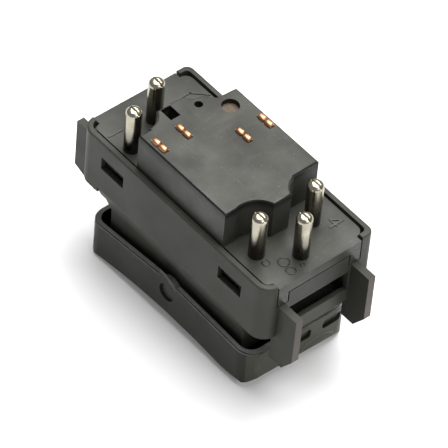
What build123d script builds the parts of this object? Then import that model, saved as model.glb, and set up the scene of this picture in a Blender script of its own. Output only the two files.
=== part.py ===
from build123d import *
from math import cos, radians, sin, sqrt, tan
import os

# Power window switch, lying on its rocker with the pins up, in millimetres.
# X runs along the case, Y across it, Z up. The origin is on the resting surface, under the case's middle.

# Rocker button: the moulded paddle that the finger works, with a skirt that hangs round the case's belly
rocker_length = 37.2
rocker_width = 20.0
rocker_corner = 2.9
finger_hollow = 1.7
toe_lift = 0.65
heel_roll = 2.5
toe_roll = 2.0
roll_overlap = 0.4
rocker_floor = 1.2
skirt_side_wall = 0.85
skirt_end_wall = 1.0
skirt_edge_round = 0.8
rim_middle_height = 8.65
rim_heel_height = 6.55
rim_toe_height = 7.85
rim_lip_height = 0.3
rim_lip_inset = 0.22
end_pocket_depth = 0.6
end_pocket_drop = 1.0
end_pocket_height = 1.7
end_pocket_round = 0.45
end_pocket_spans = [(-2.0, 2.2), (4.5, 8.1)]
tab_width = 4.0
tab_skin = 0.35
tab_rise = 0.8

# Hinge between the rocker and the case
pivot_height = 6.25
pivot_dia = 2.9
pivot_play = 0.1
pivot_pad_wall = 0.85
pivot_pad_depth = 0.5
rocker_swing = 7.5

# Case: upper box with a rim round the plate, a belly that tapers into the rocker, and its walls
case_length = 42.0
case_width = 20.7
case_corner = 2.5
case_far_corner = 1.2
case_wall = 0.9
plate_above_pivot = 18.2
rim_stand = 0.5
rim_round = 0.35
corner_wall_drop = 10.2
crease_drop = 9.3
crease_round = 1.4
taper_drop = 14.5
belly_length = 30.2
belly_wall = 0.9
belly_drop = 18.8
skirt_gap = 0.85
shoulder_length = 32.6
shoulder_drop = 11.2
web_drop = 4.9
web_thickness = 1.0
partition_above_pivot = 4.8
partition_thickness = 1.0
boss_lip = 0.45
lug_gap = 0.33

# Flanges at the case's ends, which stand upright beside the end walls
flange_span = 49.72
flange_thickness = 1.27
flange_inside = 6.3
flange_top_drop = 4.0
flange_shoulder_drop = 12.65
flange_foot_drop = 15.55
flange_foot_inset = 2.06
flange_root = 0.85
short_shoulder_drop = 13.1
short_foot_drop = 14.8

# End walls: a panel under the plate, a dark slot, and a cross band between the flanges
slot_top_drop = 5.9
slot_bottom_drop = 9.2
slot_half_width = 5.9
band_drop = 11.8
band_thickness = 0.76
recess_floor_drop = 11.0
panel_edge_round = 0.7
seam_height = 0.2
seam_depth = 0.4

# Latch windows in the long walls and the plate's noses in them
window_middle = 13.275
window_length = 5.05
window_top_drop = 2.4
window_height = 2.4
nose_play = 0.15
nose_recess = 0.7
nose_lip = 0.5
latch_thickness = 0.55
latch_root = 0.2

# Terminal plate
plate_thickness = 1.75
plate_play = 0.2
plate_corner = 1.4
plate_end_width = 15.6
corner_tab_width = 1.9
corner_tab_drop = 3.8
corner_tab_play = 0.22
rebate_width = 0.35
rebate_depth = 0.7

# Raised block on the plate
block_height = 7.0
block_right = 10.05
block_left = 9.25
block_far_inset = 1.95
block_bump = 12.6
block_bump_inset = 1.0
block_ear = 11.6
block_steps = [(8.35, 8.4), (8.55, 4.9), (9.95, 3.7), (10.4, 1.9), (11.6, 0.8)]
block_edge_round = 0.35
block_roof = 1.4
block_side_wall = 0.55
block_left_wall = 1.5
block_right_wall = 1.1
scallop_right_near = 3.95
scallop_right_far = 3.7
scallop_left = 3.4
vent_at = (-6.0, 5.3)
vent_dia = 2.8
vent_depth = 1.0
pocket_at = (-10.1, -2.65)
pocket_length = 2.4
pocket_width = 1.8
pocket_depth = 3.0
pip_at = (-9.0, 1.75)
pip_dia = 1.3
pip_depth = 2.0

# Terminal pins
pin_x = [-12.90, -15.51, 13.84, 17.68, 13.81]
near_pin_insets = [3.14, 4.30]
middle_pin_y = [-0.81, -0.95]
far_pin_inset = 5.86
pin_dia = 2.5
pin_above_plate = 8.17
pin_shank_dia = 1.6
pin_nose = 0.8
pin_slot_width = 0.35
pin_slot_depth = 0.5
rivet_dia = 2.3
rivet_height = 0.4
fit_play = 0.02

# Copper contact parts
copper = 0.8
tab_above_block = 0.2
tab_length = 3.0
tab_slot_play = 0.06
near_leg_insets = [2.25, 6.8]
far_leg_insets = [2.95, 7.35]
tab_notch_width = 0.6
tab_notch_depth = 0.4
carrier_tab_x = [(-5.9, -6.0), (-0.6, -0.3)]
bridge_drop = 3.2
strip_height = 0.8
foot_radius = 1.3
bar_width = 2.8
bar_end_margin = 0.4
bar_eye_wall = 0.15

# Tilting blades
blade_axis_drop = 3.8
blade_thickness = 0.6
blade_half_length = 12.2
blade_width = 3.1
blade_ear = 1.1
blade_angle = 4.0
blade_swing = 5.0
knife_play = 0.05
knife_radius = 0.6

# Silver contact rivets
contact_reach = 11.0
contact_dia = 2.0
contact_height = 0.5
contact_play = 0.12
contact_shank_dia = 1.1

# Plungers, their tubes in the rocker and their springs
plunger_inset = 5.05
plunger_dia = 2.4
plunger_length = 8.95
plunger_tip = 0.6
plunger_play = 0.05
tube_bore = 2.5
tube_wall = 0.55
tube_above_pivot = 8.8
spring_wire = 0.35
spring_mean_dia = 1.75
spring_turns = 4
spring_wire_sides = 5
passage_play = 0.3
blade_offsets = [-0.5, -0.1]

# Heights that follow from the sizes above
plate_top = pivot_height + plate_above_pivot
plate_bottom = plate_top - plate_thickness
rim_top = plate_top + rim_stand
block_top = plate_top + block_height
crease_z = plate_top - crease_drop
taper_z = plate_top - taper_drop
corner_wall_z = plate_top - corner_wall_drop
belly_bottom = plate_top - belly_drop
shoulder_z = plate_top - shoulder_drop
web_top = plate_top - web_drop
web_bottom = web_top - web_thickness
partition_bottom = pivot_height + partition_above_pivot
partition_top = partition_bottom + partition_thickness
slot_top = plate_top - slot_top_drop
slot_bottom = plate_top - slot_bottom_drop
band_bottom = plate_top - band_drop
recess_floor = plate_top - recess_floor_drop
floor_top = finger_hollow + rocker_floor
tube_top = pivot_height + tube_above_pivot
blade_z = plate_top - blade_axis_drop
bar_bottom = plate_bottom - copper

# Half sizes that several pieces share
case_x = case_length / 2
case_y = case_width / 2
case_inside_x = case_x - case_wall
case_inside_y = case_y - case_wall
plate_y = case_inside_y - plate_play
plate_x = case_inside_x - plate_play
plate_end_y = plate_end_width / 2
belly_x = belly_length / 2
skirt_inside_y = rocker_width / 2 - skirt_side_wall
belly_y = skirt_inside_y - skirt_gap
flange_x = flange_span / 2
block_far = case_y - block_far_inset
plunger_y = case_y - plunger_inset
near_pin_y = [-case_y + inset for inset in near_pin_insets]
pin_y = [near_pin_y[0], middle_pin_y[0], near_pin_y[1], middle_pin_y[1], case_y - far_pin_inset]
pin_places = list(zip(pin_x, pin_y))
carrier_legs = [
    [-case_y + inset for inset in near_leg_insets],
    [case_y - inset for inset in far_leg_insets],
]
rocker_x = rocker_length / 2
rocker_y = rocker_width / 2
tube_dia = tube_bore + 2 * tube_wall


def case_plan(inset):
    """Outline of the case in plan, drawn in by an inset, with its far corners sharper than the near ones."""
    with BuildSketch() as plan:
        Rectangle(case_length - 2 * inset, case_width - 2 * inset)
        fillet(plan.vertices().group_by(Axis.Y)[0], case_corner - inset)
        fillet(plan.vertices().group_by(Axis.Y)[-1], case_far_corner - inset / 2)
    return plan.sketch


def belly_side(z):
    """Half width of the case's outside at a height, straight above the crease and below the taper."""
    share = min(max((z - taper_z) / (crease_z - taper_z), 0), 1)
    return belly_y + share * (case_y - belly_y)


def write(part, name):
    """Name one finished piece and write it to its own file."""
    part.label = name
    export_step(part, f"parts/{name}.step")


os.makedirs("parts", exist_ok=True)

# The case: the feature that takes the most skill. Its belly is one cross-section along X, with soft creases
with BuildPart() as housing:
    with BuildSketch(Plane.YZ):
        with BuildLine():
            Polyline(
                (belly_y, belly_bottom),
                (belly_y, taper_z),
                (case_y, crease_z),
                (case_y, rim_top),
                (-case_y, rim_top),
                (-case_y, crease_z),
                (-belly_y, taper_z),
                (-belly_y, belly_bottom),
                close=True,
            )
        make_face()
    extrude(amount=shoulder_length / 2, both=True)
    creases = housing.edges().filter_by(Axis.X).filter_by(lambda e: abs(e.center().Z - crease_z) < 0.01)
    fillet(creases, crease_round)
    # Past the lower body's ends the tapered wall stops at the shoulder
    for side in (1, -1):
        with BuildSketch(Plane.XY.offset(belly_bottom)):
            with Locations((side * (belly_x + case_x) / 2, 0)):
                Rectangle(case_x - belly_x, case_width)
        extrude(amount=shoulder_z - belly_bottom, mode=Mode.SUBTRACT)
    # Upper box ends, with the rounded corners
    with BuildSketch(Plane.XY.offset(corner_wall_z)):
        add(case_plan(0))
        Rectangle(shoulder_length, case_width, mode=Mode.SUBTRACT)
    extrude(amount=rim_top - corner_wall_z)
    rim_edges = housing.faces().sort_by(Axis.Z)[-1].outer_wire().edges()
    fillet(rim_edges, rim_round)
    # Floors of the end recesses, whose outer edges are the cross bands under the slots
    for side in (1, -1):
        with BuildSketch(Plane.XY.offset(band_bottom)):
            with Locations((side * (belly_x + case_x) / 2, 0)):
                Rectangle(case_x - belly_x, 2 * (flange_inside + flange_thickness))
        extrude(amount=corner_wall_z - band_bottom)
    # Flanges: a full pair at plus X, and one shallow one at minus X
    foot_x = flange_x - flange_foot_inset
    for side in (1, -1):
        with BuildSketch(Plane.XZ.offset(side * flange_inside)):
            with BuildLine():
                Polyline(
                    (case_x - flange_root, plate_top - flange_top_drop),
                    (flange_x, plate_top - flange_top_drop),
                    (flange_x, plate_top - flange_shoulder_drop),
                    (foot_x, plate_top - flange_foot_drop),
                    (case_x - flange_root, plate_top - flange_foot_drop),
                    close=True,
                )
            make_face()
        extrude(amount=side * flange_thickness)
    with BuildSketch(Plane.XZ.offset(flange_inside)):
        with BuildLine():
            Polyline(
                (-case_x + flange_root, plate_top - flange_top_drop),
                (-flange_x, plate_top - flange_top_drop),
                (-flange_x, plate_top - short_shoulder_drop),
                (-case_x + flange_root, plate_top - short_foot_drop),
                close=True,
            )
        make_face()
    extrude(amount=flange_thickness)
    # Contact chamber, open at the top for the plate: a wide part above the web and a narrow one in the belly
    with BuildSketch(Plane.XY.offset(web_top)):
        add(case_plan(case_wall))
    extrude(amount=rim_top - web_top, mode=Mode.SUBTRACT)
    chamber_low_y = belly_side(partition_top) - belly_wall
    with BuildSketch(Plane.YZ):
        with BuildLine():
            Polyline(
                (chamber_low_y, partition_top),
                (case_inside_y, crease_z + belly_wall / 3),
                (case_inside_y, rim_top),
                (-case_inside_y, rim_top),
                (-case_inside_y, crease_z + belly_wall / 3),
                (-chamber_low_y, partition_top),
                close=True,
            )
        make_face()
    extrude(amount=belly_x - belly_wall, both=True, mode=Mode.SUBTRACT)
    # Room for the rocker's tubes under the partition, and the window that both tubes swing in
    with BuildSketch(Plane.XY.offset(belly_bottom)):
        Rectangle(belly_length - 2 * belly_wall, 2 * (belly_y - belly_wall))
    extrude(amount=partition_bottom - belly_bottom, mode=Mode.SUBTRACT)
    tube_swing = (partition_top - pivot_height) * tan(radians(rocker_swing))
    with BuildSketch(Plane.XY.offset(partition_bottom)):
        Rectangle(tube_dia + 2 * tube_swing + 2 * passage_play, 2 * plunger_y + tube_dia + 2 * passage_play)
    extrude(amount=partition_thickness, mode=Mode.SUBTRACT)
    # Dark recesses under the webs at both ends, closed by their floors
    recess_x0 = belly_x
    recess_x1 = case_x - band_thickness
    for side in (1, -1):
        with BuildSketch(Plane.XY.offset(recess_floor)):
            with Locations((side * (recess_x0 + recess_x1) / 2, 0)):
                Rectangle(recess_x1 - recess_x0, 2 * flange_inside)
        extrude(amount=web_bottom - recess_floor, mode=Mode.SUBTRACT)
    # End walls stop under the plate between its corners, and the slots open below the panels
    for side in (1, -1):
        with BuildSketch(Plane.XY.offset(plate_bottom)):
            with Locations((side * case_x, 0)):
                Rectangle(2 * case_wall + 2 * plate_play, plate_end_width + 2 * corner_tab_play)
        extrude(amount=rim_top - plate_bottom, mode=Mode.SUBTRACT)
        with BuildSketch(Plane.XY.offset(plate_bottom - seam_height)):
            with Locations((side * case_x, 0)):
                Rectangle(2 * seam_depth, plate_end_width)
        extrude(amount=seam_height, mode=Mode.SUBTRACT)
        with BuildSketch(Plane.XY.offset(plate_top - corner_tab_drop - corner_tab_play)):
            with Locations(
                (side * case_x, plate_end_y - corner_tab_width / 2),
                (side * case_x, -plate_end_y + corner_tab_width / 2),
            ):
                Rectangle(2 * case_wall + 2 * plate_play, corner_tab_width + 2 * corner_tab_play)
        extrude(amount=corner_tab_drop, mode=Mode.SUBTRACT)
        with BuildSketch(Plane.XY.offset(slot_bottom)):
            with Locations((side * case_x, 0)):
                Rectangle(2 * (case_x - recess_x0), 2 * slot_half_width)
        extrude(amount=slot_top - slot_bottom, mode=Mode.SUBTRACT)
    panel_edges = housing.edges().filter_by(Axis.Y).filter_by(
        lambda e: abs(e.center().Z - slot_top) < 0.01 and abs(abs(e.center().X) - case_x) < 0.01
    )
    fillet(panel_edges, panel_edge_round)
    # Latch windows through the long walls
    with BuildSketch(Plane.XZ):
        with Locations(
            (window_middle, plate_top - window_top_drop - window_height / 2),
            (-window_middle, plate_top - window_top_drop - window_height / 2),
        ):
            Rectangle(window_length, window_height)
    extrude(amount=case_y + 1, both=True, mode=Mode.SUBTRACT)
    # Lugs that reach down to the hinge, inside the rocker, and the bosses that the rocker turns on
    lug_radius = pivot_height - floor_top - lug_gap
    for side in (1, -1):
        with BuildSketch(Plane.XZ.offset(side * (belly_y - belly_wall))):
            with Locations((0, pivot_height)):
                Circle(lug_radius)
            with Locations((0, pivot_height + lug_radius)):
                Rectangle(2 * lug_radius, 2 * lug_radius)
        extrude(amount=side * belly_wall)
        with BuildSketch(Plane.XZ.offset(side * (belly_y - belly_wall))):
            with Locations((0, pivot_height)):
                Circle(pivot_dia / 2)
        extrude(amount=side * (rocker_y - boss_lip - belly_y + belly_wall))
write(housing.part, "housing")

# Room inside the rocker for the case's belly: an arched floor, seen from the side, and rounded corners in plan
heel_x = rocker_x - heel_roll
toe_x = rocker_x - toe_roll
inside_x = rocker_x - skirt_end_wall
room_top = rim_middle_height + 1
with BuildPart() as room:
    with BuildSketch(Plane.XZ):
        with BuildLine():
            floor_heel = (-inside_x, rocker_floor)
            floor_toe = (inside_x, toe_lift + rocker_floor)
            ThreePointArc(floor_heel, (0, floor_top), floor_toe)
            Polyline(floor_toe, (inside_x, room_top), (-inside_x, room_top), floor_heel)
        make_face()
    extrude(amount=skirt_inside_y, both=True)
    with BuildSketch():
        RectangleRounded(2 * inside_x, 2 * skirt_inside_y, rocker_corner - skirt_side_wall)
    extrude(amount=room_top, mode=Mode.INTERSECT)

# What is taken off outside the rim's lip: all above the rim line, but not inside the lip
with BuildPart() as rim_step:
    with BuildSketch(Plane.XZ):
        with BuildLine():
            Polyline(
                (-rocker_x, rim_heel_height),
                (0, rim_middle_height),
                (rocker_x, rim_toe_height),
                (rocker_x, room_top),
                (-rocker_x, room_top),
                close=True,
            )
        make_face()
    extrude(amount=rocker_y, both=True)
    with BuildSketch():
        RectangleRounded(
            rocker_length - 2 * rim_lip_inset, rocker_width - 2 * rim_lip_inset, rocker_corner - rim_lip_inset
        )
    extrude(amount=room_top, mode=Mode.SUBTRACT)

# The rocker: an arched finger surface with a low heel, a skirt with a ridge-shaped rim, and two spring tubes
with BuildPart() as rocker:
    # The underside is arched along X: its cross-section turns about a far axis parallel to Y
    with BuildLine(Plane.XZ):
        underside = ThreePointArc((-heel_x, 0), (0, finger_hollow), (toe_x, toe_lift))
    arch_middle = underside.arc_center
    with BuildSketch(Plane.YZ.offset(arch_middle.X)) as cross_section:
        with Locations((0, arch_middle.Z + underside.radius + room_top)):
            Rectangle(rocker_width, 2 * room_top)
        fillet(cross_section.vertices().group_by(Axis.Z)[0], skirt_edge_round)
    revolve(axis=Axis((arch_middle.X, 0, arch_middle.Z), (0, 1, 0)))
    # The rolls' arcs run a little past their lowest points, so they cross the arch cleanly
    heel_low = (-heel_x + roll_overlap, heel_roll - sqrt(heel_roll**2 - roll_overlap**2))
    toe_low = (toe_x - roll_overlap, toe_lift + toe_roll - sqrt(toe_roll**2 - roll_overlap**2))
    with BuildSketch(Plane.XZ):
        with BuildLine():
            Polyline(heel_low, (heel_low[0], -heel_roll), (toe_low[0], -heel_roll), toe_low)
            RadiusArc(toe_low, (rocker_x, toe_lift + toe_roll), -toe_roll)
            Polyline(
                (rocker_x, toe_lift + toe_roll),
                (rocker_x, rim_toe_height + rim_lip_height),
                (0, rim_middle_height + rim_lip_height),
                (-rocker_x, rim_heel_height + rim_lip_height),
                (-rocker_x, heel_roll),
            )
            RadiusArc((-rocker_x, heel_roll), heel_low, -heel_roll)
        make_face()
    extrude(amount=rocker_width, both=True, mode=Mode.INTERSECT)
    with BuildSketch():
        RectangleRounded(rocker_length, rocker_width, rocker_corner)
    extrude(amount=room_top, mode=Mode.INTERSECT)
    add(rim_step.part, mode=Mode.SUBTRACT)
    add(room.part, mode=Mode.SUBTRACT)
    # At each pivot the rim is open, with a thin ramp of skin that leads the boss in, and a pad round the hole
    for side in (1, -1):
        with BuildSketch(Plane.XZ.offset(side * skirt_inside_y)):
            with Locations((0, (pivot_height + room_top) / 2)):
                Rectangle(tab_width, room_top - pivot_height)
        extrude(amount=side * skirt_side_wall, mode=Mode.SUBTRACT)
        with BuildSketch(Plane.XZ.offset(side * (rocker_y - tab_skin))):
            with BuildLine():
                Polyline(
                    (-tab_width / 2, pivot_height),
                    (-tab_width / 2, rim_middle_height + tab_rise),
                    (-tab_width / 6, rim_middle_height + tab_rise),
                    (tab_width / 2, rim_middle_height - tab_rise / 2),
                    (tab_width / 2, pivot_height),
                    close=True,
                )
            make_face()
        extrude(amount=side * tab_skin)
        with BuildSketch(Plane.XZ.offset(side * (skirt_inside_y - pivot_pad_depth))):
            with Locations((0, pivot_height)):
                Circle(pivot_dia / 2 + pivot_play + pivot_pad_wall)
        extrude(amount=side * (pivot_pad_depth + skirt_side_wall - tab_skin))
    # Pivot holes
    with BuildSketch(Plane.XZ):
        with Locations((0, pivot_height)):
            Circle(pivot_dia / 2 + pivot_play)
    extrude(amount=rocker_y + 1, both=True, mode=Mode.SUBTRACT)
    # Pockets in the end faces, under the rim
    for end, rim_height in ((1, rim_toe_height), (-1, rim_heel_height)):
        for y0, y1 in end_pocket_spans:
            with BuildSketch(Plane.YZ.offset(end * (rocker_x - end_pocket_depth))) as end_pocket:
                with Locations(((y0 + y1) / 2, rim_height - end_pocket_drop - end_pocket_height / 2)):
                    Rectangle(y1 - y0, end_pocket_height)
                fillet(end_pocket.vertices(), end_pocket_round)
            extrude(amount=end * end_pocket_depth, mode=Mode.SUBTRACT)
    # Spring tubes
    for side in (1, -1):
        with BuildSketch(Plane.XY.offset(floor_top - rocker_floor / 2)):
            with Locations((0, side * plunger_y)):
                Circle(tube_dia / 2)
        extrude(amount=tube_top - floor_top + rocker_floor / 2)
        with BuildSketch(Plane.XY.offset(floor_top)):
            with Locations((0, side * plunger_y)):
                Circle(tube_bore / 2)
        extrude(amount=tube_top - floor_top, mode=Mode.SUBTRACT)
write(rocker.part, "rocker_button")

# The terminal plate with its block, latches and corner tabs
with BuildPart() as plate:
    with BuildSketch(Plane.XY.offset(plate_bottom)):
        RectangleRounded(2 * plate_x, 2 * plate_y, plate_corner)
        Rectangle(case_length, plate_end_width)
    extrude(amount=plate_thickness)
    # Block with bites taken out round the pins, for the plug's sleeves
    with BuildSketch(Plane.XY.offset(plate_bottom)):
        with BuildLine():
            Polyline(
                (block_right, -plate_y),
                (block_right, pin_places[2][1] + block_bump_inset),
                (block_bump, pin_places[2][1] + block_bump_inset),
                (block_bump, pin_places[4][1] - block_bump_inset),
                (block_right, pin_places[4][1] - block_bump_inset),
                (block_right, block_far),
                *[(-x, y) for x, y in block_steps],
                (-block_ear, pin_places[0][1]),
                (-block_left, pin_places[0][1]),
                (-block_left, -plate_y),
                close=True,
            )
        make_face()
        with Locations(pin_places[0]):
            Circle(scallop_left, mode=Mode.SUBTRACT)
        with Locations(pin_places[2]):
            Circle(scallop_right_near, mode=Mode.SUBTRACT)
        with Locations(pin_places[4]):
            Circle(scallop_right_far, mode=Mode.SUBTRACT)
    extrude(amount=plate_thickness + block_height)
    roof_edges = plate.faces().sort_by(Axis.Z)[-1].outer_wire().edges()
    fillet(roof_edges, block_edge_round)
    # A rebate along the near edge, beside the block, that shows as a dark joint inside the rim
    with BuildSketch(Plane.XY.offset(plate_top - rebate_depth)):
        RectangleRounded(2 * plate_x, 2 * plate_y, plate_corner)
        RectangleRounded(
            2 * (plate_x - rebate_width), 2 * (plate_y - rebate_width), plate_corner - rebate_width, mode=Mode.SUBTRACT
        )
        Rectangle(case_length, plate_end_width, mode=Mode.SUBTRACT)
        with Locations(((block_right - block_left) / 2, 0)):
            Rectangle(block_right + block_left, case_width, mode=Mode.SUBTRACT)
        with Locations((0, case_y)):
            Rectangle(case_length, case_width, mode=Mode.SUBTRACT)
    extrude(amount=rebate_depth, mode=Mode.SUBTRACT)
    # Room in the block for the carriers' legs
    hollow_x0 = -block_left + block_left_wall
    hollow_x1 = block_right - block_right_wall
    hollow_y0 = -plate_y + block_side_wall
    hollow_y1 = block_far - block_side_wall
    with BuildSketch(Plane.XY.offset(plate_bottom)):
        with Locations(((hollow_x0 + hollow_x1) / 2, (hollow_y0 + hollow_y1) / 2)):
            Rectangle(hollow_x1 - hollow_x0, hollow_y1 - hollow_y0)
    extrude(amount=plate_thickness + block_height - block_roof, mode=Mode.SUBTRACT)
    # Slots for the copper tabs, the round vent, the square pocket and the small pip hole
    with BuildSketch(Plane.XY.offset(block_top)):
        for legs, tabs in zip(carrier_legs, carrier_tab_x):
            with Locations(*zip(tabs, legs)):
                Rectangle(tab_length + 2 * tab_slot_play, copper + 2 * tab_slot_play)
    extrude(amount=-block_roof, mode=Mode.SUBTRACT)
    with BuildSketch(Plane.XY.offset(block_top)):
        with Locations(vent_at):
            Circle(vent_dia / 2)
    extrude(amount=-vent_depth, mode=Mode.SUBTRACT)
    with BuildSketch(Plane.XY.offset(block_top)):
        with Locations(pocket_at):
            Rectangle(pocket_length, pocket_width)
    extrude(amount=-pocket_depth, mode=Mode.SUBTRACT)
    with BuildSketch(Plane.XY.offset(block_top)):
        with Locations(pip_at):
            Circle(pip_dia / 2)
    extrude(amount=-pip_depth, mode=Mode.SUBTRACT)
    # Pin holes
    with BuildSketch(Plane.XY.offset(plate_bottom)):
        with Locations(*pin_places):
            Circle(pin_shank_dia / 2 + fit_play)
    extrude(amount=plate_thickness, mode=Mode.SUBTRACT)
    # Corner tabs that hook down over the end walls
    with BuildSketch(Plane.XY.offset(plate_bottom)):
        for side in (1, -1):
            with Locations(
                (side * (case_x - case_wall / 2), plate_end_y - corner_tab_width / 2),
                (side * (case_x - case_wall / 2), -plate_end_y + corner_tab_width / 2),
            ):
                Rectangle(case_wall, corner_tab_width)
    extrude(amount=-(corner_tab_drop - plate_thickness))
    # Latches: thin legs inside the long walls, each with a wedge nose in its window
    nose_out = case_y - nose_recess
    nose_top = plate_top - window_top_drop - nose_play
    nose_bottom = nose_top - window_height + 2 * nose_play
    latch_length = window_length - 2 * nose_play
    for middle in (window_middle, -window_middle):
        with BuildSketch(Plane.YZ.offset(middle - latch_length / 2)):
            for side in (1, -1):
                with BuildLine():
                    Polyline(
                        (side * (plate_y - latch_thickness), plate_bottom + latch_root),
                        (side * plate_y, plate_bottom + latch_root),
                        (side * plate_y, nose_top),
                        (side * nose_out, nose_top),
                        (side * nose_out, nose_top - nose_lip),
                        (side * plate_y, nose_bottom),
                        (side * (plate_y - latch_thickness), nose_bottom),
                        close=True,
                    )
                make_face()
        extrude(amount=latch_length)
write(plate.part, "terminal_plate")

# Terminal pins, turned, with a slotted nose and a riveted shank
pin_top = plate_top + pin_above_plate
shank_bottom = bar_bottom - rivet_height
for number, (x, y) in enumerate(pin_places, start=1):
    with BuildPart() as pin:
        with BuildSketch(Plane.XY.offset(plate_top)):
            with Locations((x, y)):
                Circle(pin_dia / 2)
        extrude(amount=pin_above_plate)
        fillet(pin.edges().sort_by(Axis.Z)[-1], pin_nose)
        with BuildSketch(Plane.XY.offset(pin_top)):
            with Locations((x, y)):
                Rectangle(2 * pin_dia, pin_slot_width)
        extrude(amount=-pin_slot_depth, mode=Mode.SUBTRACT)
        with BuildSketch(Plane.XY.offset(bar_bottom)):
            with Locations((x, y)):
                Circle(pin_shank_dia / 2)
        extrude(amount=plate_top - bar_bottom)
        with BuildSketch(Plane.XY.offset(shank_bottom)):
            with Locations((x, y)):
                Circle(rivet_dia / 2)
        extrude(amount=rivet_height)
    write(pin.part, f"pin_{number}")

# Contact carriers: folded copper with two legs on the blade, tabs through the block and a strip to one pin
knife_tip = blade_z + knife_play
leg_top = block_top - bridge_drop
tab_top = block_top + tab_above_block
for number, (legs, tabs, pin_place) in enumerate(
    zip(carrier_legs, carrier_tab_x, (pin_places[2], pin_places[4])), start=1
):
    with BuildPart() as carrier:
        for leg_y, tab_x in zip(legs, tabs):
            with BuildSketch(Plane.XZ.offset(-leg_y - copper / 2)):
                with Locations((0, knife_tip + knife_radius)):
                    Circle(knife_radius)
                leg_low = knife_tip + knife_radius
                with Locations((0, (leg_low + leg_top) / 2)):
                    Rectangle(2 * knife_radius, leg_top - leg_low)
                head_x0 = min(tab_x - tab_length / 2, -knife_radius)
                head_x1 = max(tab_x + tab_length / 2, knife_radius)
                head_z0 = leg_top - strip_height
                with Locations(((head_x0 + head_x1) / 2, (head_z0 + leg_top) / 2)):
                    Rectangle(head_x1 - head_x0, leg_top - head_z0)
                with Locations((tab_x, (leg_top + tab_top) / 2)):
                    Rectangle(tab_length, tab_top - leg_top)
                with Locations((tab_x, tab_top - tab_notch_depth / 2)):
                    Rectangle(tab_notch_width, tab_notch_depth, mode=Mode.SUBTRACT)
            extrude(amount=copper)
        # Bridge between the legs
        with BuildSketch(Plane.XY.offset(leg_top - copper)):
            with Locations((0, (legs[0] + legs[1]) / 2)):
                Rectangle(2 * knife_radius, abs(legs[0] - legs[1]) + copper)
        extrude(amount=copper)
        # Strip from the outer leg to the pin, flat against the plate
        outward = 1 if legs[0] > 0 else -1
        with BuildSketch(Plane.XY.offset(bar_bottom)):
            with Locations((pin_place[0] / 2, legs[0])):
                Rectangle(pin_place[0] + 2 * knife_radius, copper)
            with Locations((pin_place[0], (pin_place[1] + legs[0] + outward * copper / 2) / 2)):
                Rectangle(2 * foot_radius, abs(legs[0] + outward * copper / 2 - pin_place[1]))
            with Locations(pin_place):
                Circle(foot_radius)
                Circle(pin_shank_dia / 2 + fit_play, mode=Mode.SUBTRACT)
        extrude(amount=copper)
    write(carrier.part, f"contact_carrier_{number}")

# Fixed contact bars under the plate: the first joins pins 1 and 2, the second feeds pin 4
blade_places = [-plunger_y + blade_offsets[0], plunger_y + blade_offsets[1]]
bar_length = blade_places[1] - blade_places[0] + contact_dia + 2 * bar_end_margin
for number, side in enumerate((-1, 1), start=1):
    bar_pins = pin_places[0:2] if side < 0 else pin_places[3:4]
    with BuildPart() as bar:
        with BuildSketch(Plane.XY.offset(bar_bottom)):
            with Locations((side * contact_reach, (blade_places[0] + blade_places[1]) / 2)):
                Rectangle(bar_width, bar_length)
            for x, y in bar_pins:
                with Locations(((x + side * contact_reach) / 2, y)):
                    Rectangle(abs(x) - contact_reach, rivet_dia)
                with Locations((x, y)):
                    Circle(rivet_dia / 2 + bar_eye_wall)
            with Locations(*bar_pins):
                Circle(pin_shank_dia / 2 + fit_play, mode=Mode.SUBTRACT)
            with Locations(*[(side * contact_reach, y) for y in blade_places]):
                Circle(contact_shank_dia / 2 + fit_play, mode=Mode.SUBTRACT)
        extrude(amount=copper)
    write(bar.part, f"contact_bar_{number}")

# Tilting blades: a flat middle with ears under the carrier's knife edges, and two arms that slope down
arm_drop = (blade_half_length - blade_ear) * tan(radians(blade_angle))
for number, (legs, y) in enumerate(zip(carrier_legs, blade_places), start=1):
    with BuildPart() as blade:
        with BuildSketch(Plane.XZ.offset(-y - blade_width / 2)):
            with BuildLine():
                Polyline(
                    (-blade_half_length, blade_z - arm_drop),
                    (-blade_ear, blade_z),
                    (blade_ear, blade_z),
                    (blade_half_length, blade_z - arm_drop),
                    (blade_half_length, blade_z - arm_drop - blade_thickness),
                    (blade_ear, blade_z - blade_thickness),
                    (-blade_ear, blade_z - blade_thickness),
                    (-blade_half_length, blade_z - arm_drop - blade_thickness),
                    close=True,
                )
            make_face()
        extrude(amount=blade_width)
        with BuildSketch(Plane.XY.offset(blade_z - blade_thickness)):
            with Locations((0, (legs[0] + legs[1]) / 2)):
                Rectangle(2 * blade_ear, abs(legs[0] - legs[1]) + copper)
        extrude(amount=blade_thickness)
        with BuildSketch(Plane.XY.offset(blade_z)):
            with Locations((contact_reach, y), (-contact_reach, y)):
                Circle(contact_shank_dia / 2 + fit_play)
        extrude(amount=blade_half_length, both=True, mode=Mode.SUBTRACT)
    write(blade.part, f"seesaw_blade_{number}")

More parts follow.
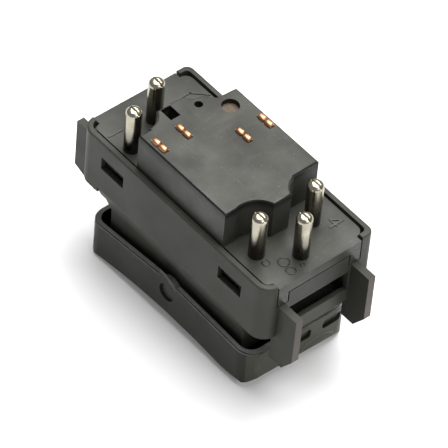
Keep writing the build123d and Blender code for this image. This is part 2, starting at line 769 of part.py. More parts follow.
# Silver rivets on the blades' ends, numbered from minus Y and minus X, with those in the bars above them
arm_z = blade_z - (contact_reach - blade_ear) * tan(radians(blade_angle))
blade_contact_top = arm_z + contact_height
lifted = blade_z + contact_reach * sin(radians(blade_swing))
lifted += (blade_contact_top - blade_z) * cos(radians(blade_swing))
bar_contact_bottom = lifted + contact_play
contact_seat = contact_dia / 2 * tan(radians(blade_angle))
number = 0
for y in blade_places:
    for side in (-1, 1):
        number += 1
        with BuildPart() as blade_contact:
            with BuildSketch(Plane.XY.offset(arm_z + contact_seat)):
                with Locations((side * contact_reach, y)):
                    Circle(contact_dia / 2)
            extrude(amount=contact_height - contact_seat)
            with BuildSketch(Plane.XY.offset(arm_z - blade_thickness)):
                with Locations((side * contact_reach, y)):
                    Circle(contact_shank_dia / 2)
            extrude(amount=blade_thickness + contact_seat)
        write(blade_contact.part, f"blade_contact_{number}")
        with BuildPart() as bar_contact:
            with BuildSketch(Plane.XY.offset(bar_contact_bottom)):
                with Locations((side * contact_reach, y)):
                    Circle(contact_dia / 2)
            extrude(amount=bar_bottom - bar_contact_bottom)
            with BuildSketch(Plane.XY.offset(bar_bottom)):
                with Locations((side * contact_reach, y)):
                    Circle(contact_shank_dia / 2)
            extrude(amount=copper)
        write(bar_contact.part, f"bar_contact_{number}")

# Plungers with coned tips, and the springs that push them up out of the rocker's tubes
plunger_top = blade_z - blade_thickness - plunger_play
plunger_bottom = plunger_top - plunger_length
for number, side in enumerate((-1, 1), start=1):
    with BuildPart() as plunger:
        with BuildSketch(Plane.XY.offset(plunger_bottom)):
            with Locations((0, side * plunger_y)):
                Circle(plunger_dia / 2)
        extrude(amount=plunger_length)
        chamfer(plunger.edges().sort_by(Axis.Z)[-1], plunger_tip)
    write(plunger.part, f"plunger_{number}")
    spring_low = floor_top + spring_wire / 2
    spring_high = plunger_bottom - spring_wire / 2
    spring_pitch = (spring_high - spring_low) / spring_turns
    with BuildPart() as spring:
        with BuildLine(Plane.XY.offset(spring_low)) as coil:
            Helix(spring_pitch, spring_high - spring_low, spring_mean_dia / 2)
        with BuildSketch(Plane(origin=coil.line @ 0, z_dir=coil.line % 0)):
            RegularPolygon(spring_wire / 2, spring_wire_sides)
        sweep(path=coil.line, is_frenet=True)
    write(spring.part.moved(Location((0, side * plunger_y, 0))), f"plunger_spring_{number}")
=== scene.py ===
from math import cos, pi, radians, sin

import bpy
from mathutils import Matrix, Vector


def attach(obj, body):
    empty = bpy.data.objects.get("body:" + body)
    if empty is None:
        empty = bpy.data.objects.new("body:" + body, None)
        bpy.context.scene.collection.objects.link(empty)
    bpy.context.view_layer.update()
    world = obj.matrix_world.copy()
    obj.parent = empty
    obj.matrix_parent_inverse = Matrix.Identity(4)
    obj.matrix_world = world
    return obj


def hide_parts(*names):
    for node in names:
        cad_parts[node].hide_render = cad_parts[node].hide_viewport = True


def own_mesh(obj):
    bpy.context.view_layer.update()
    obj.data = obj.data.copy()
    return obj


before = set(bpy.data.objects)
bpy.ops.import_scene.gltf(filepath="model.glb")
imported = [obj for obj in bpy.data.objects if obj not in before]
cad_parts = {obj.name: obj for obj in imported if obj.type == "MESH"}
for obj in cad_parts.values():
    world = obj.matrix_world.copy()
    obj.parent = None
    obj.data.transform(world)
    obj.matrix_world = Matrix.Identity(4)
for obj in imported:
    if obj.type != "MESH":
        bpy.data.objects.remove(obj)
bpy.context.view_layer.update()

# The stage: a white table that the switch lies on. The switch rests on its hollow finger surface, whose
# toe is a little higher than its heel, so the table leans with it. A share of emission keeps the table's
# plain part clean white, and the rest carries the soft contact shadow. From below, the table is clear.
table_half = 1.2
table_white = (0.72, 0.72, 0.72, 1)
plain_white = (1, 1, 1, 1)
table_lift = 0.10
heel_x = -0.0161
toe_x = 0.0166
toe_z = 0.00065
lean = toe_z / (toe_x - heel_x)

bpy.ops.object.select_all(action="DESELECT")
bpy.ops.mesh.primitive_plane_add(size=2 * table_half, location=(0, 0, 0))
table = bpy.context.object
table.name = "white_table"
bpy.ops.object.mode_set(mode="EDIT")
bpy.ops.mesh.select_all(action="SELECT")
bpy.ops.transform.rotate(value=lean, orient_axis="Y", center_override=(heel_x, 0, 0))
bpy.ops.object.mode_set(mode="OBJECT")
table_paint = bpy.data.materials.new("white_table")
table_paint.use_nodes = True
nodes = table_paint.node_tree.nodes
links = table_paint.node_tree.links
nodes.clear()
sheet = nodes.new("ShaderNodeBsdfDiffuse")
sheet.inputs["Color"].default_value = table_white
lift = nodes.new("ShaderNodeEmission")
lift.inputs["Color"].default_value = plain_white
seen = nodes.new("ShaderNodeLightPath")
either = nodes.new("ShaderNodeMath")
either.operation = "MAXIMUM"
links.new(seen.outputs["Is Camera Ray"], either.inputs[0])
links.new(seen.outputs["Is Glossy Ray"], either.inputs[1])
strength = nodes.new("ShaderNodeMath")
strength.operation = "MULTIPLY"
links.new(either.outputs["Value"], strength.inputs[0])
strength.inputs[1].default_value = table_lift
links.new(strength.outputs["Value"], lift.inputs["Strength"])
both = nodes.new("ShaderNodeAddShader")
links.new(sheet.outputs["BSDF"], both.inputs[0])
links.new(lift.outputs["Emission"], both.inputs[1])
below = nodes.new("ShaderNodeNewGeometry")
hidden = nodes.new("ShaderNodeMath")
hidden.operation = "MULTIPLY"
links.new(below.outputs["Backfacing"], hidden.inputs[0])
links.new(seen.outputs["Is Camera Ray"], hidden.inputs[1])
clear = nodes.new("ShaderNodeBsdfTransparent")
shown = nodes.new("ShaderNodeMixShader")
links.new(hidden.outputs["Value"], shown.inputs["Fac"])
links.new(both.outputs["Shader"], shown.inputs[1])
links.new(clear.outputs["BSDF"], shown.inputs[2])
out = nodes.new("ShaderNodeOutputMaterial")
links.new(shown.outputs["Shader"], out.inputs["Surface"])
table.data.materials.append(table_paint)

# The light: a dim white room, one large soft panel above the switch and a small one to its right, which
# puts the bright streaks on the pins. The camera sees the room as plain white.
room_strength = 0.32
room_seen_strength = 1.0
room = bpy.data.worlds.new("white_room")
bpy.context.scene.world = room
room.use_nodes = True
nodes = room.node_tree.nodes
links = room.node_tree.links
nodes.clear()
seen = nodes.new("ShaderNodeLightPath")
direct = nodes.new("ShaderNodeMath")
direct.operation = "MAXIMUM"
links.new(seen.outputs["Is Camera Ray"], direct.inputs[0])
links.new(seen.outputs["Is Transmission Ray"], direct.inputs[1])
level = nodes.new("ShaderNodeMapRange")
level.inputs["To Min"].default_value = room_strength
level.inputs["To Max"].default_value = room_seen_strength
links.new(direct.outputs["Value"], level.inputs["Value"])
air = nodes.new("ShaderNodeBackground")
air.inputs["Color"].default_value = plain_white
links.new(level.outputs["Result"], air.inputs["Strength"])
out = nodes.new("ShaderNodeOutputWorld")
links.new(air.outputs["Background"], out.inputs["Surface"])

lamp_aim = Vector((0, 0, 0.015))
for name, place, size, power in (
    ("sky_panel", Vector((-0.08, 0.2, 0.74)), 0.65, 12.5),
    ("right_panel", Vector((0.55, 0.05, 0.45)), 0.4, 1.5),
):
    lamp = bpy.data.lights.new(name, "AREA")
    lamp.shape = "SQUARE"
    lamp.size = size
    lamp.energy = power
    holder = bpy.data.objects.new(name, lamp)
    holder.location = place
    holder.rotation_euler = (lamp_aim - place).to_track_quat("-Z", "Y").to_euler()
    bpy.context.scene.collection.objects.link(holder)

# The camera: a long lens at the photo's own angle, fitted on the pins and the case's corners.
# Its roll turns the picture a little, as the photo was framed.
camera_azimuth = radians(45.66)
camera_elevation = radians(47.31)
camera_roll = radians(5.65)
camera_place = Vector((0.29421, -0.28704, 0.46034))
camera_sensor = 36
camera_lens = 331.55

away = Vector(
    (
        sin(camera_azimuth) * cos(camera_elevation),
        -cos(camera_azimuth) * cos(camera_elevation),
        sin(camera_elevation),
    )
)
level_right = Vector((0, 0, 1)).cross(away).normalized()
level_up = away.cross(level_right)
right = cos(camera_roll) * level_right + sin(camera_roll) * level_up
up = cos(camera_roll) * level_up - sin(camera_roll) * level_right
eye = bpy.data.cameras.new("photo_camera")
eye.sensor_width = camera_sensor
eye.lens = camera_lens
camera = bpy.data.objects.new("photo_camera", eye)
turn = Matrix((right, up, away)).transposed()
camera.matrix_world = Matrix.Translation(camera_place) @ turn.to_4x4()
bpy.context.scene.collection.objects.link(camera)
bpy.context.scene.camera = camera
bpy.context.scene.view_settings.view_transform = "Standard"

# The case, one injection moulding in black glass-filled nylon with a fine matt grain. The mould breaks its
# edges, handling has polished it in patches, and pale dust sits on its upward faces. The flanges' end faces
# that face +X carry a reddish tint and are painted paler, a painted light from the side lamp.
case_tone = (0.034, 0.034, 0.027, 1)
case_edge = 0.00012
# Painted light: the flange end faces turned to +X get a paler reddish tone, a tint with painted light.
flange_end_tint_and_light = (0.072, 0.061, 0.052, 1)
flange_end_x = 0.0235
flange_end_facing = (0.9, 1.1)
grain_size = 0.00022
grain_strength = 0.6
cloud_size = 0.006
scuff_size = 0.0011
scuff_stretch = 0.12
dust_size = 0.00035
dust_tone = (0.30, 0.29, 0.26, 1)

# Where the noise and the slope start and stop counting, and how much of each goes into dust and roughness.
middle_grey = 0.5
scuff_band = (0.62, 0.78)
speck_band = (0.66, 0.74)
film_band = (0.42, 0.75)
worn_band = (0.3, 0.7)
upward_band = (0.5, 0.95)
film_share = 0.35
scuff_share = 0.35
scuff_rough = 0.08

# How an eased copy is made: what is merged, what counts as flat, as an edge and as smooth. The last value
# is how short a tint's fade is where its limit is to look sharp.
merge_distance = 0.000002
flat_angle = radians(1)
edge_angle = radians(40)
smooth_angle = radians(50)
ease_steps = 2
flat_face_weight = 100
sharp_fade = 0.00001


def moulded_skin():
    """A shader group for moulded plastic: flow clouds, scuffs, dust on top, patches of polish, grain."""
    group = bpy.data.node_groups.new("moulded_skin", "ShaderNodeTree")
    for name, kind in (
        ("Tone", "NodeSocketColor"),
        ("Cloud", "NodeSocketFloat"),
        ("Rough", "NodeSocketFloat"),
        ("Polish", "NodeSocketFloat"),
        ("Dust", "NodeSocketFloat"),
    ):
        group.interface.new_socket(name, in_out="INPUT", socket_type=kind)
    for name, kind in (
        ("Color", "NodeSocketColor"),
        ("Roughness", "NodeSocketFloat"),
        ("Height", "NodeSocketFloat"),
    ):
        group.interface.new_socket(name, in_out="OUTPUT", socket_type=kind)
    nodes = group.nodes
    links = group.links

    def maths(kind, first, second, third=None):
        """A maths node; each input is a socket to link or a plain number."""
        step = nodes.new("ShaderNodeMath")
        step.operation = kind
        for socket, value in zip(step.inputs, (first, second, third)):
            if isinstance(value, (int, float)):
                socket.default_value = value
            elif value is not None:
                links.new(value, socket)
        return step.outputs["Value"]

    def noise(size, detail, stretch=(1, 1, 1)):
        """Noise in the object's own space, drawn out along an axis by stretch."""
        spread = nodes.new("ShaderNodeMapping")
        spread.inputs["Scale"].default_value = stretch
        links.new(place.outputs["Object"], spread.inputs["Vector"])
        cells = nodes.new("ShaderNodeTexNoise")
        cells.inputs["Scale"].default_value = 1 / size
        cells.inputs["Detail"].default_value = detail
        links.new(spread.outputs["Vector"], cells.inputs["Vector"])
        return cells.outputs["Fac"]

    def band(value, limits):
        """Zero below the lower limit, one above the upper one."""
        ramp = nodes.new("ShaderNodeMapRange")
        ramp.inputs["From Min"].default_value = limits[0]
        ramp.inputs["From Max"].default_value = limits[1]
        links.new(value, ramp.inputs["Value"])
        return ramp.outputs["Result"]

    given = nodes.new("NodeGroupInput")
    result = nodes.new("NodeGroupOutput")
    place = nodes.new("ShaderNodeTexCoord")
    face = nodes.new("ShaderNodeSeparateXYZ")
    way = nodes.new("ShaderNodeNewGeometry")
    links.new(way.outputs["True Normal"], face.inputs["Vector"])

    clouds = noise(cloud_size, detail=5)
    centred = maths("SUBTRACT", clouds, middle_grey)
    swing = maths("MULTIPLY_ADD", centred, given.outputs["Cloud"], 1.0)
    tint = nodes.new("ShaderNodeVectorMath")
    tint.operation = "SCALE"
    links.new(given.outputs["Tone"], tint.inputs[0])
    links.new(swing, tint.inputs["Scale"])

    long_scuffs = band(noise(scuff_size, detail=2, stretch=(scuff_stretch, 1, 1)), scuff_band)
    cross_scuffs = band(noise(scuff_size, detail=2, stretch=(1, scuff_stretch, 1)), scuff_band)
    scuffs = maths("MAXIMUM", long_scuffs, cross_scuffs)
    upward = band(face.outputs["Z"], upward_band)
    specks = band(noise(dust_size, detail=2), speck_band)
    film = band(clouds, film_band)
    settled = maths("MULTIPLY", upward, maths("MULTIPLY_ADD", film, film_share, specks))
    pale = maths("MULTIPLY", maths("MULTIPLY_ADD", scuffs, scuff_share, settled), given.outputs["Dust"])
    dusty = nodes.new("ShaderNodeMix")
    dusty.data_type = "RGBA"
    dusty.inputs["B"].default_value = dust_tone
    links.new(tint.outputs["Vector"], dusty.inputs["A"])
    links.new(pale, dusty.inputs["Factor"])
    links.new(dusty.outputs["Result"], result.inputs["Color"])

    patches = maths("SUBTRACT", band(clouds, worn_band), middle_grey)
    worn = maths("MULTIPLY", patches, given.outputs["Polish"])
    marked = maths("MULTIPLY_ADD", scuffs, scuff_rough, given.outputs["Rough"])
    links.new(maths("SUBTRACT", marked, worn), result.inputs["Roughness"])
    links.new(noise(grain_size, detail=3), result.inputs["Height"])
    return group


skin_group = moulded_skin()


def moulded_plastic(name, tone, cloud, rough, polish, dust, grain_depth, gloss):
    """Moulded plastic with the shared skin."""
    paint = bpy.data.materials.new(name)
    paint.use_nodes = True
    nodes = paint.node_tree.nodes
    links = paint.node_tree.links
    surface = nodes["Principled BSDF"]
    skin = nodes.new("ShaderNodeGroup")
    skin.node_tree = skin_group
    skin.inputs["Tone"].default_value = tone
    skin.inputs["Cloud"].default_value = cloud
    skin.inputs["Rough"].default_value = rough
    skin.inputs["Polish"].default_value = polish
    skin.inputs["Dust"].default_value = dust
    links.new(skin.outputs["Color"], surface.inputs["Base Color"])
    links.new(skin.outputs["Roughness"], surface.inputs["Roughness"])
    surface.inputs["Specular IOR Level"].default_value = gloss
    bump = nodes.new("ShaderNodeBump")
    bump.inputs["Strength"].default_value = grain_strength
    bump.inputs["Distance"].default_value = grain_depth
    links.new(skin.outputs["Height"], bump.inputs["Height"])
    links.new(bump.outputs["Normal"], surface.inputs["Normal"])
    return paint


def eased(node, body, width, paint):
    """A copy of a carried-over node with its edges broken by width, which stands for the node."""
    bpy.ops.object.select_all(action="DESELECT")
    piece = bpy.data.objects.new(f"{node}_eased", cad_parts[node].data.copy())
    bpy.context.scene.collection.objects.link(piece)
    bpy.context.view_layer.objects.active = piece
    piece.select_set(True)
    bpy.ops.object.mode_set(mode="EDIT")
    bpy.ops.mesh.select_all(action="SELECT")
    bpy.ops.mesh.remove_doubles(threshold=merge_distance)
    bpy.ops.mesh.dissolve_limited(angle_limit=flat_angle)
    bpy.ops.object.mode_set(mode="OBJECT")
    ease = piece.modifiers.new("ease", "BEVEL")
    ease.limit_method = "ANGLE"
    ease.angle_limit = edge_angle
    ease.width = width
    ease.segments = ease_steps
    bpy.ops.object.modifier_apply(modifier="ease")
    bpy.ops.object.shade_smooth_by_angle(angle=smooth_angle)
    even = piece.modifiers.new("even", "WEIGHTED_NORMAL")
    even.weight = flat_face_weight
    even.keep_sharp = True
    bpy.ops.object.modifier_apply(modifier="even")
    piece.data.materials.clear()
    piece.data.materials.append(paint)
    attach(piece, body)
    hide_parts(node)
    return piece


def tint_faces(paint, tone, normal_axis, facing, place_axis, start, fade=sharp_fade):
    """Another tone for faces past start on one axis, whose normal's share along another lies in facing."""
    nodes = paint.node_tree.nodes
    links = paint.node_tree.links
    place = nodes.new("ShaderNodeTexCoord")
    where = nodes.new("ShaderNodeSeparateXYZ")
    links.new(place.outputs["Object"], where.inputs["Vector"])
    way = nodes.new("ShaderNodeNewGeometry")
    normal = nodes.new("ShaderNodeSeparateXYZ")
    links.new(way.outputs["True Normal"], normal.inputs["Vector"])
    past = nodes.new("ShaderNodeMapRange")
    past.inputs["From Min"].default_value = start
    past.inputs["From Max"].default_value = start + fade
    links.new(where.outputs[place_axis], past.inputs["Value"])
    turned = nodes.new("ShaderNodeMath")
    turned.operation = "COMPARE"
    turned.inputs[1].default_value = (facing[0] + facing[1]) / 2
    turned.inputs[2].default_value = (facing[1] - facing[0]) / 2
    links.new(normal.outputs[normal_axis], turned.inputs[0])
    chosen = nodes.new("ShaderNodeMath")
    chosen.operation = "MULTIPLY"
    links.new(past.outputs["Result"], chosen.inputs[0])
    links.new(turned.outputs["Value"], chosen.inputs[1])
    tinted = nodes.new("ShaderNodeMix")
    tinted.data_type = "RGBA"
    tinted.inputs["B"].default_value = tone
    colour = nodes["Principled BSDF"].inputs["Base Color"]
    links.new(colour.links[0].from_socket, tinted.inputs["A"])
    links.new(chosen.outputs["Value"], tinted.inputs["Factor"])
    links.new(tinted.outputs["Result"], colour)


case_paint = moulded_plastic(
    "case_plastic",
    case_tone,
    cloud=0.5,
    rough=0.48,
    polish=0.10,
    dust=0.10,
    grain_depth=0.00002,
    gloss=0.2,
)
# Painted light with a reddish tint on the flange end faces that face +X.
tint_faces(case_paint, flange_end_tint_and_light, "X", flange_end_facing, "X", flange_end_x)
eased("housing", "case", case_edge, case_paint)

# The terminal plate with its raised block, a second black moulding that is pressed into the case. Its flat
# faces are smoother than the case's and carry smears from the pins' assembly. The block's rounded top edge
# and its walls just below that are painted darker, a painted shade for the dark band along that edge.
plate_tone = (0.033, 0.033, 0.027, 1)
plate_edge = 0.00012
# Painted shade: a dark tone on the block's rounded top edge and the walls just below it.
crest_painted_shade = (0.006, 0.006, 0.005, 1)
crest_foot = 0.0299
crest_fade = 0.0010
crest_facing = (-0.3, 0.9)
plate_paint = moulded_plastic(
    "plate_plastic",
    plate_tone,
    cloud=1.0,
    rough=0.38,
    polish=0.30,
    dust=0.14,
    grain_depth=0.000012,
    gloss=0.23,
)
tint_faces(plate_paint, crest_painted_shade, "Z", crest_facing, "Z", crest_foot, crest_fade)
eased("terminal_plate", "case", plate_edge, plate_paint)

# The marks on the plate, raised by the mould: the circuit numbers 1 and 4 beside their pins, three rings
# and a small dot from the ejectors, and the short ribs at the far end. They are glossier than the plate,
# and painted darker than it, a painted shade for the dark lines along their edges.
plate_top = 0.02445
mark_rise = 0.00012
# Painted shade: the marks are darker than the plate, for the dark lines along their edges.
mark_painted_shade = (0.014, 0.014, 0.013, 1)
number_height = 0.0040
stroke_offset = -0.00006
curve_steps = 3
ring_wire = 0.00012
ring_steps = 40
wire_steps = 8
rib_width = 0.00022
rib_start = Vector((-0.01646, 0.00336, plate_top))
rib_bend = Vector((-0.01643, 0.00686, plate_top))
rib_end = Vector((-0.01440, 0.00903, plate_top))


def settle_mark(name, paint):
    """Make the active object a plain mesh with its place in the mesh, paint it and put it on the case."""
    mark = bpy.context.object
    mark.name = name
    bpy.ops.object.convert(target="MESH")
    mark = bpy.context.object
    bpy.ops.object.transform_apply(location=True, rotation=True, scale=True)
    mark.data.materials.clear()
    mark.data.materials.append(paint)
    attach(mark, "case")


mark_paint = moulded_plastic(
    "mark_plastic",
    mark_painted_shade,
    cloud=0.6,
    rough=0.25,
    polish=0.1,
    dust=0.1,
    grain_depth=0.00001,
    gloss=0.4,
)
for name, digit, spot in (
    ("number_1", "1", (-0.01760, -0.00856)),
    ("number_4", "4", (0.01495, 0.00570)),
):
    bpy.ops.object.select_all(action="DESELECT")
    bpy.ops.object.text_add(location=(spot[0], spot[1], plate_top))
    words = bpy.context.object
    words.data.body = digit
    words.data.size = number_height
    words.data.extrude = mark_rise
    words.data.offset = stroke_offset
    words.data.resolution_u = curve_steps
    settle_mark(name, mark_paint)

for name, spot, radius in (
    ("ejector_ring_1", (0.01737, -0.00390), 0.00085),
    ("ejector_ring_2", (0.01925, -0.00415), 0.00070),
    ("ejector_dot", (0.01938, -0.00208), 0.00030),
    ("ejector_ring_3", (0.01600, -0.00610), 0.00055),
):
    bpy.ops.object.select_all(action="DESELECT")
    bpy.ops.mesh.primitive_torus_add(
        location=(spot[0], spot[1], plate_top),
        major_radius=radius,
        minor_radius=ring_wire,
        major_segments=ring_steps,
        minor_segments=wire_steps,
    )
    bpy.ops.object.shade_smooth()
    settle_mark(name, mark_paint)

for name, start, end in (("step_rib_1", rib_start, rib_bend), ("step_rib_2", rib_bend, rib_end)):
    run = end - start
    bpy.ops.object.select_all(action="DESELECT")
    bpy.ops.mesh.primitive_cube_add(size=1, location=(start + end) / 2)
    rib = bpy.context.object
    rib.scale = (run.length + rib_width, rib_width, 2 * mark_rise)
    rib.rotation_euler = (0, 0, run.to_2d().angle_signed(Vector((1, 0))))
    settle_mark(name, mark_paint)

# The floor of the vent hole in the block, a disc of brown filter paper that lets the case breathe. It lies
# inside the hole, a little below the block's top.
vent_place = (-0.0060, 0.0053, 0.03052)
vent_radius = 0.00138
vent_steps = 48
paper_thick = 0.0001
paper_dark = (0.035, 0.025, 0.017, 1)
paper_pale = (0.13, 0.09, 0.055, 1)
paper_rough = 0.7
fibre_size = 0.0004
vent_paint = bpy.data.materials.new("filter_paper")
vent_paint.use_nodes = True
nodes = vent_paint.node_tree.nodes
links = vent_paint.node_tree.links
surface = nodes["Principled BSDF"]
place = nodes.new("ShaderNodeTexCoord")
fibres = nodes.new("ShaderNodeTexNoise")
fibres.inputs["Scale"].default_value = 1 / fibre_size
links.new(place.outputs["Object"], fibres.inputs["Vector"])
brown = nodes.new("ShaderNodeMix")
brown.data_type = "RGBA"
brown.inputs["A"].default_value = paper_dark
brown.inputs["B"].default_value = paper_pale
links.new(fibres.outputs["Fac"], brown.inputs["Factor"])
links.new(brown.outputs["Result"], surface.inputs["Base Color"])
surface.inputs["Roughness"].default_value = paper_rough
bpy.ops.object.select_all(action="DESELECT")
bpy.ops.mesh.primitive_cylinder_add(
    vertices=vent_steps,
    radius=vent_radius,
    depth=paper_thick,
    location=vent_place,
)
settle_mark("vent_disc", vent_paint)

# The rocker, moulded in the same black nylon but with a finer, softer skin where the finger works it. Its
# tone is darker than the case's, a painted shade for the shaded table that its sides reflect. It swings on
# the case's two pivot bosses. Its rim is painted pale, a painted light for the lit band along it, and its
# toe's end face a little paler too, a painted light where the side lamp falls on it.
# Painted shade: the rocker's tone is darker than the case's, for the shaded table its sides reflect.
rocker_shaded_tone = (0.020, 0.020, 0.015, 1)
rocker_edge = 0.00015
# Painted light: a pale tone on the rocker's upward rim faces, for the lit band along the rim.
rim_painted_light = (0.24, 0.24, 0.235, 1)
rim_low = 0.0058
# Painted light: a paler tone on the toe's end face, which is turned to the side lamp.
toe_painted_light = (0.048, 0.048, 0.035, 1)
toe_face_x = 0.0165
rocker_facing = (0.6, 1.1)
corner_lift = 0.0010
corner_reach = 0.0036
corner_x = 0.0168
corner_y = -0.0084
corner_top = 0.0012
rocker_paint = moulded_plastic(
    "rocker_plastic",
    rocker_shaded_tone,
    cloud=0.4,
    rough=0.42,
    polish=0.12,
    dust=0.08,
    grain_depth=0.00001,
    gloss=0.15,
)
tint_faces(rocker_paint, rim_painted_light, "Z", rocker_facing, "Z", rim_low)
tint_faces(rocker_paint, toe_painted_light, "X", rocker_facing, "X", toe_face_x)
button = eased("rocker_button", "rocker", rocker_edge, rocker_paint)

# Its near toe corner is rounder underneath than the rest of its edge, so the corner is drawn up a little.
bpy.ops.object.select_all(action="DESELECT")
bpy.context.view_layer.objects.active = button
button.select_set(True)
for vertex in button.data.vertices:
    x, y, z = vertex.co
    vertex.select = x > corner_x and y < corner_y and z < corner_top
for edge in button.data.edges:
    edge.select = False
for face in button.data.polygons:
    face.select = False
bpy.ops.object.mode_set(mode="EDIT")
bpy.ops.mesh.select_mode(type="VERT")
bpy.ops.transform.translate(
    value=(0, 0, corner_lift),
    use_proportional_edit=True,
    proportional_edit_falloff="SMOOTH",
    proportional_size=corner_reach,
)
bpy.ops.object.mode_set(mode="OBJECT")

# A thin pale arc on the rocker's toe, on its end face below the two pockets, a painted highlight for the
# bright line seen there. It is the upper part of a thin ring that is sunk in the face to half its wire.
# Painted highlight: the pale ring stands for a bright line along the toe's end face.
arch_painted_highlight = (0.11, 0.11, 0.085, 1)
arch_radius = 0.0044
arch_middle = (0.0186, 0.0037, -0.0002)
arch_wire = 0.00007
arch_steps = 96
arch_foot = 0.0029
arch_paint = moulded_plastic(
    "highlight_arc_plastic",
    arch_painted_highlight,
    cloud=0.4,
    rough=0.4,
    polish=0.1,
    dust=0.0,
    grain_depth=0.00001,
    gloss=0.4,
)
bpy.ops.object.select_all(action="DESELECT")
bpy.ops.mesh.primitive_torus_add(
    location=arch_middle,
    rotation=(0, pi / 2, 0),
    major_radius=arch_radius,
    minor_radius=arch_wire,
    major_segments=arch_steps,
    minor_segments=wire_steps,
)
arch = bpy.context.object
arch.name = "toe_highlight_arc"
bpy.ops.object.transform_apply(location=True, rotation=True, scale=True)
bpy.ops.object.mode_set(mode="EDIT")
bpy.ops.mesh.select_all(action="SELECT")
bpy.ops.mesh.bisect(plane_co=(0, 0, arch_foot), plane_no=(0, 0, 1), clear_inner=True, use_fill=True)
bpy.ops.object.mode_set(mode="OBJECT")
bpy.ops.object.shade_smooth()
arch.data.materials.append(arch_paint)
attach(arch, "rocker")

# The pins, turned brass with a warm nickel plate and a slot across a domed tip. Their shanks pass through
# the terminal plate and are riveted under it. Towards the plate they are painted darker, a painted shade
# for the dark plastic that they reflect there.
pin_tone = (0.50, 0.475, 0.39, 1)
pin_stain = (0.31, 0.285, 0.22, 1)
# Painted shade: the pins darken towards the plate, for the dark plastic they reflect there.
pin_foot_shade = (0.10, 0.095, 0.085, 1)
pin_shade_low = 0.0262
pin_shade_high = 0.0300
stain_detail = 4
smoother_by = 0.06
rougher_by = 0.08


def metal(name, tone, stain_tone, rough, stain_size):
    """Bare or plated metal with a fine finish and a little tarnish."""
    paint = bpy.data.materials.new(name)
    paint.use_nodes = True
    nodes = paint.node_tree.nodes
    links = paint.node_tree.links
    surface = nodes["Principled BSDF"]
    surface.inputs["Metallic"].default_value = 1.0
    place = nodes.new("ShaderNodeTexCoord")
    stain = nodes.new("ShaderNodeTexNoise")
    stain.inputs["Scale"].default_value = 1 / stain_size
    stain.inputs["Detail"].default_value = stain_detail
    links.new(place.outputs["Object"], stain.inputs["Vector"])
    shade = nodes.new("ShaderNodeMix")
    shade.data_type = "RGBA"
    shade.inputs["A"].default_value = tone
    shade.inputs["B"].default_value = stain_tone
    links.new(stain.outputs["Fac"], shade.inputs["Factor"])
    links.new(shade.outputs["Result"], surface.inputs["Base Color"])
    polish = nodes.new("ShaderNodeMapRange")
    polish.inputs["To Min"].default_value = rough - smoother_by
    polish.inputs["To Max"].default_value = rough + rougher_by
    links.new(stain.outputs["Fac"], polish.inputs["Value"])
    links.new(polish.outputs["Result"], surface.inputs["Roughness"])
    return paint


def dress(node, paint):
    """Give a carried-over node its material."""
    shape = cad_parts[node]
    shape.data.materials.clear()
    shape.data.materials.append(paint)


pin_paint = metal("plated_pin", pin_tone, pin_stain, rough=0.2, stain_size=0.0016)
# The pins' lower part is mixed to a dark tone, a painted shade for the reflected plate.
nodes = pin_paint.node_tree.nodes
links = pin_paint.node_tree.links
place = nodes.new("ShaderNodeTexCoord")
where = nodes.new("ShaderNodeSeparateXYZ")
links.new(place.outputs["Object"], where.inputs["Vector"])
rise = nodes.new("ShaderNodeMapRange")
rise.inputs["From Min"].default_value = pin_shade_low
rise.inputs["From Max"].default_value = pin_shade_high
links.new(where.outputs["Z"], rise.inputs["Value"])
fade = nodes.new("ShaderNodeMix")
fade.data_type = "RGBA"
fade.inputs["A"].default_value = pin_foot_shade
links.new(rise.outputs["Result"], fade.inputs["Factor"])
colour = nodes["Principled BSDF"].inputs["Base Color"]
links.new(colour.links[0].from_socket, fade.inputs["B"])
links.new(fade.outputs["Result"], colour)
for number in range(1, 6):
    dress(f"pin_{number}", pin_paint)

# The contact carriers, folded from copper strip and pushed up into the block from below. Their tabs pass
# through slots in its roof.
copper_tone = (0.62, 0.35, 0.20, 1)
copper_stain = (0.34, 0.16, 0.08, 1)
copper_paint = metal("bare_copper", copper_tone, copper_stain, rough=0.36, stain_size=0.0009)
for name in ("contact_carrier_1", "contact_carrier_2"):
    dress(name, copper_paint)

# The heads of the four tabs, pressed over to lock the carriers: two rounded bumps on each, with a notch
# between them.
head_size = (0.00150, 0.00112, 0.00092)
head_round = 0.00042
head_steps = 4
head_middle_z = 0.03154
head_from_tab = 0.00076
tab_places = ((-0.0059, -0.0081), (-0.0060, -0.00355), (-0.0006, 0.0074), (-0.0003, 0.0030))

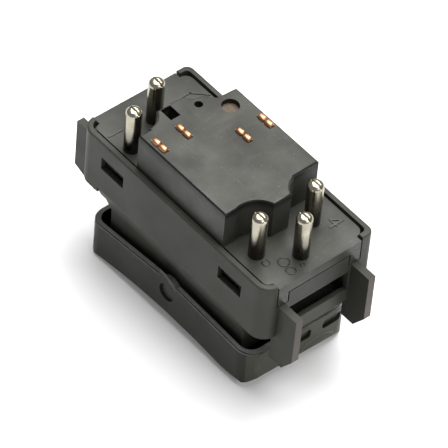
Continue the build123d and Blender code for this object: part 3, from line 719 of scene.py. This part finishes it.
bpy.ops.object.select_all(action="DESELECT")
bpy.ops.mesh.primitive_cube_add(size=1, location=(0, 0, 0))
head = bpy.context.object
head.scale = head_size
bpy.ops.object.transform_apply(location=False, rotation=False, scale=True)
ease = head.modifiers.new("ease", "BEVEL")
ease.width = head_round
ease.segments = head_steps
bpy.ops.object.modifier_apply(modifier="ease")
bpy.ops.object.shade_smooth()
head.data.materials.append(copper_paint)
for tab, (x, y) in enumerate(tab_places, start=1):
    for side, name in ((-1, "left"), (1, "right")):
        copy = bpy.data.objects.new(f"tab_{tab}_{name}_head", head.data.copy())
        bpy.context.scene.collection.objects.link(copy)
        copy.data.transform(Matrix.Translation((x + side * head_from_tab, y, head_middle_z)))
        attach(copy, "case")
bpy.data.objects.remove(head)

# The fixed bars and the tilting blades inside, cut from the same copper strip. The bars lie under the plate
# on the pins' shanks, and the blades tilt on the carriers' legs.
for name in ("contact_bar_1", "contact_bar_2", "seesaw_blade_1", "seesaw_blade_2"):
    dress(name, copper_paint)

# The silver rivets on the blades' ends and in the bars above them, with their shanks set in the copper.
# They meet when a blade tilts, and carry the current.
silver_tone = (0.88, 0.87, 0.84, 1)
silver_stain = (0.55, 0.54, 0.5, 1)
silver_paint = metal("contact_silver", silver_tone, silver_stain, rough=0.3, stain_size=0.0008)
for number in range(1, 5):
    dress(f"blade_contact_{number}", silver_paint)
    dress(f"bar_contact_{number}", silver_paint)

# The plungers, moulded in natural nylon, slide in the rocker's tubes and push on the blades. Each stands on
# a coil spring of drawn steel wire.
nylon_tone = (0.72, 0.69, 0.60, 1)
steel_tone = (0.55, 0.55, 0.54, 1)
steel_stain = (0.35, 0.35, 0.34, 1)
plunger_paint = moulded_plastic(
    "natural_nylon",
    nylon_tone,
    cloud=0.1,
    rough=0.4,
    polish=0.05,
    dust=0.0,
    grain_depth=0.000005,
    gloss=0.5,
)
spring_paint = metal("spring_wire", steel_tone, steel_stain, rough=0.3, stain_size=0.0006)
for number in (1, 2):
    dress(f"plunger_{number}", plunger_paint)
    node = f"plunger_spring_{number}"
    coil = bpy.data.objects.new(f"{node}_coil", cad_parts[node].data.copy())
    bpy.context.scene.collection.objects.link(coil)
    coil.data.materials.clear()
    coil.data.materials.append(spring_paint)
    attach(coil, "rocker")
    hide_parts(node)
    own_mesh(coil)
